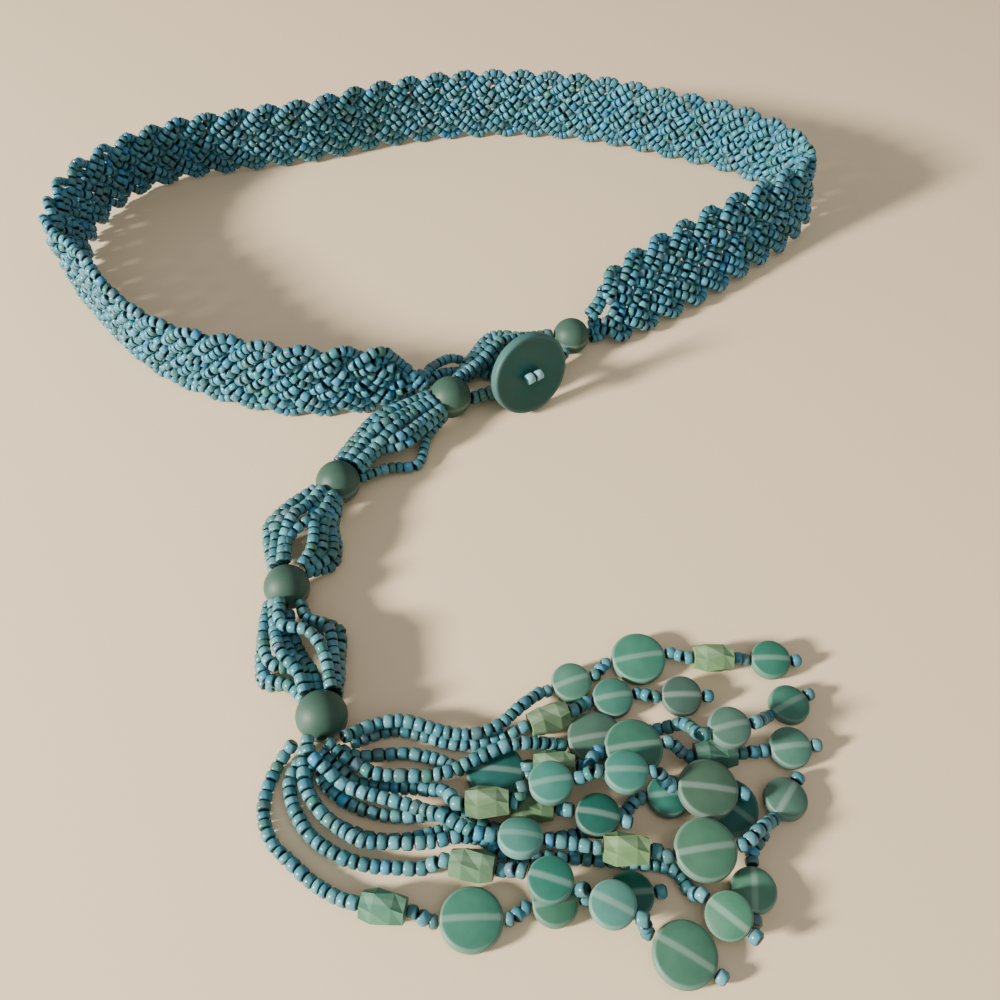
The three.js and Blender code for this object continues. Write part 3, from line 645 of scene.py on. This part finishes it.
# Shades of the seed beads: each takes the one whose start lies just below its own tone
BAND_SHADES = [
    (0.0, "39798F"), (0.2, "44869C"), (0.38, "4A8291"), (0.52, "3E7482"), (0.64, "437379"),
    (0.74, "5292A6"), (0.84, "3A7A82"), (0.9, "3B82AC"), (0.94, "507481"), (0.97, "3F756F"),
]
STRING_SHADES = [
    (0.0, "3F7987"), (0.18, "4A838F"), (0.36, "508287"), (0.52, "407278"), (0.66, "4A7171"),
    (0.76, "5A929C"), (0.86, "3F7572"), (0.92, "4588A8"), (0.95, "577480"), (0.98, "437366"),
]
PALE_SHADES = [(0.0, "84B8C2"), (0.5, "8EC0CA")]


def seed_material(name, shade_stops):
    """Seed glass in mixed shades, with painted shade that darkens it towards the flat ends where two
    seeds meet.
    """
    material, nodes, links, shader = plain_material(name, "4F8A9A", 0.26)
    shader.inputs["Specular IOR Level"].default_value = SHINE
    tone = nodes.new("ShaderNodeAttribute")
    tone.attribute_name = "tone"
    shades = ramp(nodes, shade_stops, "CONSTANT")
    links.new(tone.outputs["Fac"], shades.inputs["Fac"])
    clouds = nodes.new("ShaderNodeTexNoise")
    clouds.inputs["Scale"].default_value = 420
    clouds.inputs["Detail"].default_value = 2
    place = nodes.new("ShaderNodeTexCoord")
    links.new(place.outputs["Object"], clouds.inputs["Vector"])
    grey = ramp(nodes, [(0.3, "B8C4C4"), (0.7, "FFFFFF")])
    links.new(clouds.outputs["Fac"], grey.inputs["Fac"])
    mottle = multiplied(nodes, links, shades.outputs["Color"], grey.outputs["Color"])
    mottle.inputs["Factor"].default_value = 0.4
    # Painted shade: darker towards the seed's flat ends, where two seeds meet in shade
    painted_end_shade = nodes.new("ShaderNodeAttribute")
    painted_end_shade.attribute_name = "painted_end_shade"
    painted_end_shade_ramp = ramp(nodes, [(0.25, "FFFFFF"), (0.8, "3E565C")])
    links.new(painted_end_shade.outputs["Fac"], painted_end_shade_ramp.inputs["Fac"])
    ends = multiplied(nodes, links, mottle.outputs["Result"], painted_end_shade_ramp.outputs["Color"])
    ends.inputs["Factor"].default_value = 1
    links.new(ends.outputs["Result"], shader.inputs["Base Color"])
    return material


def multiplied(nodes, links, a, b):
    node = nodes.new("ShaderNodeMix")
    node.data_type = "RGBA"
    node.blend_type = "MULTIPLY"
    links.new(a, node.inputs["A"])
    links.new(b, node.inputs["B"])
    return node


# Painted shade that the frosted glass is multiplied by on one side and towards its rim, painted light
# along its rim, the paler colour of its stripe, and the stripe's half width in mm

PAINTED_SIDE_SHADE = (0.62, 0.7, 0.68, 1)
PAINTED_RIM_SHADE = (0.6, 0.68, 0.64, 1)
PAINTED_RIM_LIGHT = (0.3, 0.36, 0.33, 1)
STRIPE_LIGHT = (0.3, 0.36, 0.32, 1)
STRIPE_EDGE, STRIPE_MIDDLE = 1.15, 0.3


def frosted_group():
    """Frosted glass: a paler stripe along the drilled hole, a pale rim line of painted light,
    painted shade that leaves one side of the stone a little lighter than the other and darkens it
    towards the rim, and faint clouds."""
    tree = bpy.data.node_groups.new("frosted glass", "ShaderNodeTree")
    face = tree.interface
    face.new_socket("Glass", in_out="INPUT", socket_type="NodeSocketColor")
    face.new_socket("Hole stripe", in_out="INPUT", socket_type="NodeSocketFloat")
    face.new_socket("Rim line", in_out="INPUT", socket_type="NodeSocketFloat")
    face.new_socket("Radius", in_out="INPUT", socket_type="NodeSocketFloat")
    face.new_socket("Color", in_out="OUTPUT", socket_type="NodeSocketColor")
    face.new_socket("Roughness", in_out="OUTPUT", socket_type="NodeSocketFloat")
    nodes, link = tree.nodes, tree.links.new
    given = nodes.new("NodeGroupInput")
    result = nodes.new("NodeGroupOutput")
    local = nodes.new("ShaderNodeAttribute")
    local.attribute_name = "stone_place"
    parts = nodes.new("ShaderNodeSeparateXYZ")
    link(local.outputs["Vector"], parts.inputs["Vector"])

    def fill(value, socket):
        if isinstance(value, (int, float, tuple)):
            socket.default_value = value
        else:
            link(value, socket)

    def maths(operation, a, b=0.0):
        node = nodes.new("ShaderNodeMath")
        node.operation = operation
        fill(a, node.inputs[0])
        fill(b, node.inputs[1])
        return node.outputs[0]

    def blend(kind, factor, a, b):
        node = nodes.new("ShaderNodeMix")
        node.data_type = "RGBA"
        node.blend_type = kind
        fill(factor, node.inputs["Factor"])
        fill(a, node.inputs["A"])
        fill(b, node.inputs["B"])
        return node.outputs["Result"]

    def soft_step(value, low, high):
        node = nodes.new("ShaderNodeMapRange")
        node.interpolation_type = "SMOOTHSTEP"
        fill(value, node.inputs["Value"])
        fill(low, node.inputs["From Min"])
        fill(high, node.inputs["From Max"])
        return node.outputs["Result"]

    clouds = nodes.new("ShaderNodeTexNoise")
    clouds.inputs["Scale"].default_value = 240
    clouds.inputs["Detail"].default_value = 3
    place = nodes.new("ShaderNodeTexCoord")
    link(place.outputs["Object"], clouds.inputs["Vector"])
    grey = ramp(nodes, [(0.25, "D2D8D4"), (0.75, "FFFFFF")])
    link(clouds.outputs["Fac"], grey.inputs["Fac"])
    mottled = blend("MULTIPLY", 0.6, given.outputs["Glass"], grey.outputs["Color"])
    # Painted shade: one side of the stone darker than the other, as if lit from the other side
    side = soft_step(maths("DIVIDE", parts.outputs["Z"], given.outputs["Radius"]), -0.8, 0.8)
    shaded = blend("MULTIPLY", maths("MULTIPLY", side, 0.35), mottled, PAINTED_SIDE_SHADE)
    across = maths("MULTIPLY", parts.outputs["X"], parts.outputs["X"])
    upward = maths("MULTIPLY", parts.outputs["Z"], parts.outputs["Z"])
    from_middle = maths("POWER", maths("ADD", across, upward), 0.5)
    outward = maths("DIVIDE", from_middle, given.outputs["Radius"])
    # Painted shade: darker towards the rim
    painted_rim_shade_mask = maths("MULTIPLY", soft_step(outward, 0.35, 0.95), 0.3)
    rim_shaded = blend("MULTIPLY", painted_rim_shade_mask, shaded, PAINTED_RIM_SHADE)
    by_hole = soft_step(maths("ABSOLUTE", parts.outputs["Z"]), STRIPE_EDGE, STRIPE_MIDDLE)
    stripe = maths("MULTIPLY", by_hole, given.outputs["Hole stripe"])
    lit = blend("SCREEN", stripe, rim_shaded, STRIPE_LIGHT)
    # Painted light: a pale line along the rim
    rim = maths("MULTIPLY", soft_step(outward, 0.88, 0.955), given.outputs["Rim line"])
    link(blend("SCREEN", rim, lit, PAINTED_RIM_LIGHT), result.inputs["Color"])
    rough = maths("ADD", 0.42, maths("MULTIPLY", clouds.outputs["Fac"], 0.2))
    link(rough, result.inputs["Roughness"])
    return tree


frosted = frosted_group()


# rim sets the strength of the painted light along the rim; radius scales the painted shade on one side
# and towards the rim
def frosted_material(name, code, stripe, rim, radius):
    material, nodes, links, shader = plain_material(name, code, 0.5)
    shader.inputs["Specular IOR Level"].default_value = SHINE
    group = nodes.new("ShaderNodeGroup")
    group.node_tree = frosted
    group.inputs["Glass"].default_value = rgb(code)
    group.inputs["Hole stripe"].default_value = stripe
    group.inputs["Rim line"].default_value = rim
    group.inputs["Radius"].default_value = radius
    links.new(group.outputs["Color"], shader.inputs["Base Color"])
    links.new(group.outputs["Roughness"], shader.inputs["Roughness"])
    return material


band_seeds = seed_material("seed_glass_band", BAND_SHADES)
string_seeds = seed_material("seed_glass_strings", STRING_SHADES)
pale_seeds = seed_material("seed_glass_pale", PALE_SHADES)
# Round beads and button: stripe, strength of the painted rim light, and radius of the painted shade
bead_glass = frosted_material("round_bead_glass", "3E5C4F", 0.2, 0, ROUND_BEAD / 2)
button_glass = frosted_material("button_glass", "185654", 0, 0.12, BUTTON / 2)

# The seed bead: a short barrel with nearly flat ends that sink to its hole

SEED_SHOULDER = 0.82
SEED_SIDES = 10
seed_profile = [
    (0, -1.05), (1.25, -1.36), (1.8, -SEED_SHOULDER), (1.8, SEED_SHOULDER), (1.25, 1.36), (0, 1.05),
]
vertices, faces = lathed([(r * MM, z * MM) for r, z in seed_profile], SEED_SIDES, False)
seed_bead = new_object("seed_bead_pattern", vertices, faces)
seed_bead.hide_render = True
beads_tree = bead_nodes()
sockets = {
    item.name: item.identifier
    for item in beads_tree.interface.items_tree
    if item.in_out == "INPUT"
}


def bead_piece(name, strings, nodes_replaced, number, finish):
    """One piece of seed beads, from lists of (place, direction, room) in millimetres. It keeps
    each bead's tone, and marks the flat ends that are painted darker, as painted shade where two seeds
    meet."""
    rows = [bead for beads in strings for bead in beads]
    cloud = new_object(name + "_points", [place * MM for place, _, _ in rows], [])
    aims = cloud.data.attributes.new("aim", "FLOAT_VECTOR", "POINT")
    scales = cloud.data.attributes.new("bead_scale", "FLOAT_VECTOR", "POINT")
    for index, (_, ahead, room) in enumerate(rows):
        loose = Vector([random.gauss(0, LOOSE_TURN) for _ in range(3)])
        aims.data[index].vector = (ahead + loose).normalized()
        long = min(max(room / PITCH, SHORTEST), LONGEST) * random.uniform(*CLOSE_FIT)
        wide = random.uniform(*UNEVEN_WIDTH)
        scales.data[index].vector = (wide, wide, long)
    modifier = cloud.modifiers.new("beads", "NODES")
    modifier.node_group = beads_tree
    modifier[sockets["Bead"]] = seed_bead
    modifier[sockets["Finish"]] = finish
    modifier[sockets["Uneven size"]] = UNEVEN_SIZE
    modifier[sockets["Seed"]] = number
    made = bpy.data.meshes.new_from_object(
        cloud.evaluated_get(bpy.context.evaluated_depsgraph_get()),
        preserve_all_data_layers=True,
        depsgraph=bpy.context.evaluated_depsgraph_get(),
    )
    cloud.modifiers.remove(modifier)
    bpy.data.objects.remove(cloud)
    for old in ("aim", "bead_scale"):
        if old in made.attributes:
            made.attributes.remove(made.attributes[old])
    past_shoulder = SEED_SHOULDER * MM * 1.01
    ends = [float(abs(vertex.co.z) > past_shoulder) for vertex in seed_bead.data.vertices]
    tone = made.attributes.new("tone", "FLOAT", "POINT")
    # Painted shade: 1 on each seed's flat ends, which the finish darkens where seeds meet
    painted_end_shade = made.attributes.new("painted_end_shade", "FLOAT", "POINT")
    for index in range(len(rows)):
        shade = random.random()
        for corner, end in enumerate(ends):
            tone.data[index * len(ends) + corner].value = shade
            painted_end_shade.data[index * len(ends) + corner].value = end
    for polygon in made.polygons:
        polygon.use_smooth = True
    piece = bpy.data.objects.new(name, made)
    bpy.context.scene.collection.objects.link(piece)
    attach(piece, "root")
    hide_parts(*nodes_replaced)
    return piece


# The plaited band: five pairs of strings that cross from edge to edge, over and under

def over_under(phase):
    """1 where a pair lies over the one it crosses, -1 where it lies under."""
    tenth = (phase % 0.5) * 10
    if 1 <= tenth <= 4:
        return math.cos(math.pi * (tenth - 1))
    if tenth < 1:
        return math.sin(math.pi / 2 * tenth)
    return -math.cos(math.pi / 2 * (tenth - 4))


def zigzag(along):
    """Height of a pair's middle line, which turns at the edges in round bends."""
    half = PAIRS * SCALLOP / 2
    step = along % (2 * half)
    step = 2 * half - step if step > half else step
    bend = TURN_RADIUS * math.sin(PLAIT_ANGLE)
    if step < bend:
        return -PLAIT_SWING + TURN_RADIUS - math.sqrt(TURN_RADIUS ** 2 - step ** 2)
    if step > half - bend:
        return PLAIT_SWING - TURN_RADIUS + math.sqrt(TURN_RADIUS ** 2 - (half - step) ** 2)
    return (step - half / 2) * math.tan(PLAIT_ANGLE)


def plait_point(along, pair, side):
    """A point of one string: (along, height from the band's middle, out of its middle)."""
    share = band.at(along)[4] / BAND_WIDTH
    apart = PAIR_SPACING / 2 * (0.7 + 0.3 * min(1, share))
    squeeze = max(share * BAND_WIDTH / 2 - apart - SEED / 2, 0.6) / PLAIT_SWING
    turned = along + pair * SCALLOP
    slope = (zigzag(turned + 0.2) - zigzag(turned - 0.2)) / 0.4 * squeeze
    level = 1 / math.hypot(1, slope)
    layer = PLAIT_LAYER * (1 + TAPER_LAYER * (1 - share))
    return (
        along - side * apart * slope * level,
        zigzag(turned) * squeeze + side * apart * level,
        layer * over_under(turned / (PAIRS * SCALLOP)),
    )


def gathered(along):
    """How far a string keeps its place across the band: less close to a round bead."""
    from_start = GATHER_RIGHT + (1 - GATHER_RIGHT) * min(1, along / GATHER_LENGTH)
    from_stop = GATHER_LEFT + (1 - GATHER_LEFT) * min(1, (band.length - along) / GATHER_LENGTH)
    return min(from_start, from_stop)


def plait_pair(pair):
    start = TRIM_RIGHT[pair]
    stop = band.length - TRIM_LEFT[pair]
    steps = int((stop - start) / PLAIT_STEP)
    strings = []
    for side in (-1, 1):
        line = []
        for step in range(steps + 1):
            along, height, out = plait_point(start + (stop - start) * step / steps, pair, side)
            keep = gathered(along)
            width = band.at(along)[4]
            line.append(band.place(along, width / 2 + height * keep, out))
        strings.append(places_along(line))
    return strings


for pair in range(PAIRS):
    bead_piece("plait_pair_%d" % (pair + 1), plait_pair(pair), ["woven_band"], 10 + pair, band_seeds)

# Buttonholes

for hole, rows in enumerate(HOLES):
    strings = [places_along(hole_string(hole, *row)) for row in rows]
    bead_piece(
        "buttonhole_strings_%d" % (hole + 1), strings, ["bead_buttonhole_%d" % (hole + 1)],
        30 + hole, string_seeds,
    )


def stone_object(name, vertices, faces, material, matrix, smooth_faces, replaced):
    """A stone or bead from local points in millimetres; stone_place keeps them for its finish."""
    thing = new_object(name, [(matrix @ v) * MM for v in vertices], faces, material, smooth_faces)
    local = thing.data.attributes.new("stone_place", "FLOAT_VECTOR", "POINT")
    for index, vertex in enumerate(vertices):
        local.data[index].vector = vertex
    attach(thing, "root")
    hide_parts(*replaced)
    return thing


def frame_of(x, y, place):
    z = x.cross(y)
    return Matrix((
        (x.x, y.x, z.x, place.x), (x.y, y.y, z.y, place.y), (x.z, y.z, z.z, place.z), (0, 0, 0, 1),
    ))


# Round beads

def turned_to_x(vertices):
    return [Vector((v.z, v.y, -v.x)) for v in vertices]


BEAD_RINGS, BEAD_SIDES = 22, 48
radius = ROUND_BEAD / 2
start_angle = math.asin(BEAD_BORE / radius)
sphere = []
for ring in range(BEAD_RINGS + 1):
    angle = start_angle + (math.pi - 2 * start_angle) * ring / BEAD_RINGS
    sphere.append((radius * math.sin(angle), -radius * math.cos(angle)))
sphere_vertices, sphere_faces = lathed(sphere, BEAD_SIDES, True)
sphere_vertices = turned_to_x(sphere_vertices)
for number, place in enumerate(BEADS):
    axis = AXES[number]
    side = UP.cross(axis).normalized()
    stone_object(
        "round_bead_glass_%d" % (number + 1), [v * BEAD_SIZES[number] for v in sphere_vertices],
        sphere_faces, bead_glass,
        frame_of(axis, side, place), True, ["round_bead_%d" % (number + 1)],
    )

# The button: a disc with a softly rounded rim, a shallow dish and a deeper middle, whose holes
# lie under the two seed beads of its front

RIM_ROUND, RIM_STEPS, BUTTON_SIDES = 0.9, 6, 72
RIM_FLAT, DISH_EDGE = 2.2, 4
DISH_DEPTH, DISH_DEEPEST = 0.22, 0.3
WELL_EDGE, WELL_WALL, WELL_DEPTH = 4.6, 3.9, 0.5
half, rim = BUTTON_THICK / 2, BUTTON / 2
quarter = [math.pi / 2 * step / RIM_STEPS for step in range(RIM_STEPS + 1)]
inner = rim - RIM_ROUND
disc = [(0.0, -half)]
for angle in quarter:
    disc.append((inner + RIM_ROUND * math.sin(angle), -half + RIM_ROUND - RIM_ROUND * math.cos(angle)))
for angle in quarter:
    disc.append((inner + RIM_ROUND * math.cos(angle), half - RIM_ROUND + RIM_ROUND * math.sin(angle)))
disc += [
    (rim - RIM_FLAT, half), (rim - DISH_EDGE, half - DISH_DEPTH),
    (WELL_EDGE, half - DISH_DEEPEST), (WELL_WALL, half - WELL_DEPTH), (0.0, half - WELL_DEPTH),
]
vertices, faces = lathed(disc, BUTTON_SIDES, False)
vertices = [Vector((v.x, v.z, -v.y)) for v in vertices]
stone_object(
    "button_glass", vertices, faces, button_glass,
    frame_of(button_across, button_normal, button_place), True, ["button"],
)

# Shank: two strings from the band's left end under the far strings to the button, and the two
# seed beads that lie across its front

INSIDE_BAND = (6, 1)
STRINGS_APART = 0.55
FRONT_SINK = 0.4
strings = []
for row, side in enumerate((1, -1)):
    hole = button_place + button_across * side * BUTTON_HOLES / 2
    back = hole - button_normal * (BUTTON_THICK / 2 + PIECE_GAP)
    points = [
        middle_of_band(band.length - reach) + UP * side * SEED * STRINGS_APART
        for reach in INSIDE_BAND
    ]
    points += [Vector((hole_middle.x + x, hole_middle.y + y, z)) for x, y, z in SHANK[row]]
    points += [back - button_normal * SEED, back]
    strings.append(places_along(smooth(points)))
front = button_place + button_normal * (BUTTON_THICK / 2 - FRONT_SINK + SEED / 2)
bead_piece("shank_strings", strings, ["button_shank"], 40, string_seeds)
across_front = [
    (front + button_across * side * FRONT_SEED / 2, button_across, FRONT_SEED) for side in (-1, 1)
]
bead_piece("button_front_seeds", [across_front], ["button_shank"], 41, pale_seeds)


# Stones

DISC_SIDES = 40
DISC_RIM, DISC_ROUND = 0.3, 0.5
DOME_RINGS = (0, 0.3, 0.55, 0.75, 0.88)
TUBE_SIDES = 6
TUBE_CUTS = (0.16, -0.12)


def disc_shape(diameter):
    """A disc, its two faces a little domed and its rim softly rounded."""
    radius = diameter / 2
    rim_half = DISC_THICK * DISC_RIM
    dome = DISC_THICK / 2 - rim_half
    upper = [(radius * share, rim_half + dome * (1 - share * share)) for share in DOME_RINGS]
    upper += [(radius - DISC_ROUND * 0.3, rim_half), (radius, rim_half - DISC_ROUND)]
    profile = [(r, -z) for r, z in upper] + [(r, z) for r, z in reversed(upper)]
    vertices, faces = lathed(profile, DISC_SIDES, False)
    return [Vector((v.x, v.z, -v.y)) for v in vertices], faces


def tube_shape(cut):
    """A six-sided tube with wide flat ends, its rings of corners turned a little by cut."""
    end, wide = TUBE_LENGTH / 2, TUBE_WIDTH / 2
    rings = [(-end, 0.84, 0.0), (-end * 0.42, 1.03, cut), (end * 0.45, 1.0, -cut), (end, 0.82, 0.0)]
    vertices, faces = [], []
    for x, share, twist in rings:
        for side in range(TUBE_SIDES):
            angle = math.radians(60 * side + 30) + twist
            vertices.append(Vector((x, wide * share * math.cos(angle), wide * share * math.sin(angle))))
    for ring in range(len(rings) - 1):
        for side in range(TUBE_SIDES):
            a, b = ring * TUBE_SIDES + side, ring * TUBE_SIDES + (side + 1) % TUBE_SIDES
            faces.append([a, b, b + TUBE_SIDES, a + TUBE_SIDES])
    faces.append(list(reversed(range(TUBE_SIDES))))
    faces.append(list(range(len(vertices) - TUBE_SIDES, len(vertices))))
    return vertices, faces


counts = {}
for string, route in enumerate(TASSEL):
    stops = string_stops(route)
    runs, before, between = [], None, []
    codes = iter(STONE_COLOURS[string])
    for stop in stops:
        if not stop["kind"]:
            between.append(stop["place"])
            continue
        runs.append(places_along(seed_run(before, between, stop)))
        before, between = stop, []
        kind, axis = stop["kind"], stop["axis"]
        counts[kind] = counts.get(kind, 0) + 1
        level = (UP - axis * axis.z).normalized()
        near = axis.cross(level)
        flat = level * math.cos(stop["tilt"]) + near * math.sin(stop["tilt"])
        node_name = "%s_%02d" % (kind, counts[kind])
        is_tube = kind == "faceted_tube"
        # looks: the stripe's strength, the painted rim light's strength, and the radius of the painted
        # shade
        if is_tube:
            vertices, faces = tube_shape(TUBE_CUTS[(counts[kind] + 1) % 2])
            looks = (0.15, 0, 2 * TUBE_LENGTH)
        else:
            vertices, faces = disc_shape(STONES[kind][0] * 2)
            looks = (0.3, 0.2, STONES[kind][0])
        stone_object(
            "stone_" + node_name, vertices, faces,
            frosted_material("glass_" + node_name, next(codes), *looks),
            frame_of(axis, flat, stop["place"]), not is_tube,
            [node_name],
        )
    end = before["exit"]
    runs.append([(end + before["axis"] * PITCH / 2, before["axis"], PITCH)])
    node_name = "tassel_string_%02d" % (string + 1)
    bead_piece("seeds_" + node_name, runs, [node_name], 50 + string, string_seeds)

bpy.data.objects.remove(seed_bead)

# Floor and light

floor_material, nodes, links, shader = plain_material("floor", "E6D0AC", 0.5)
floor = new_object(
    "floor", [(-3, -3, 0), (3, -3, 0), (3, 3, 0), (-3, 3, 0)], [[0, 1, 2, 3]], floor_material,
)
floor.location.z = -0.0002


def area_light(name, place, target, size, power, colour):
    data = bpy.data.lights.new(name, "AREA")
    data.size = size
    data.energy = power
    data.color = colour
    lamp = bpy.data.objects.new(name, data)
    lamp.location = place
    lamp.rotation_euler = (Vector(target) - Vector(place)).to_track_quat("-Z", "Y").to_euler()
    bpy.context.scene.collection.objects.link(lamp)
    return lamp


area_light("key", (-1.5, -0.8, 0.68), (0, -0.05, 0), 0.24, 110, (1, 0.94, 0.86))
area_light("fill", (0.5, -1.2, 1.8), (0, 0, 0), 2.2, 14, (0.98, 0.97, 1))
world = bpy.data.worlds.new("room")
world.use_nodes = True
world.node_tree.nodes["Background"].inputs["Color"].default_value = (0.95, 0.93, 0.92, 1)
world.node_tree.nodes["Background"].inputs["Strength"].default_value = 0.36
bpy.context.scene.world = world
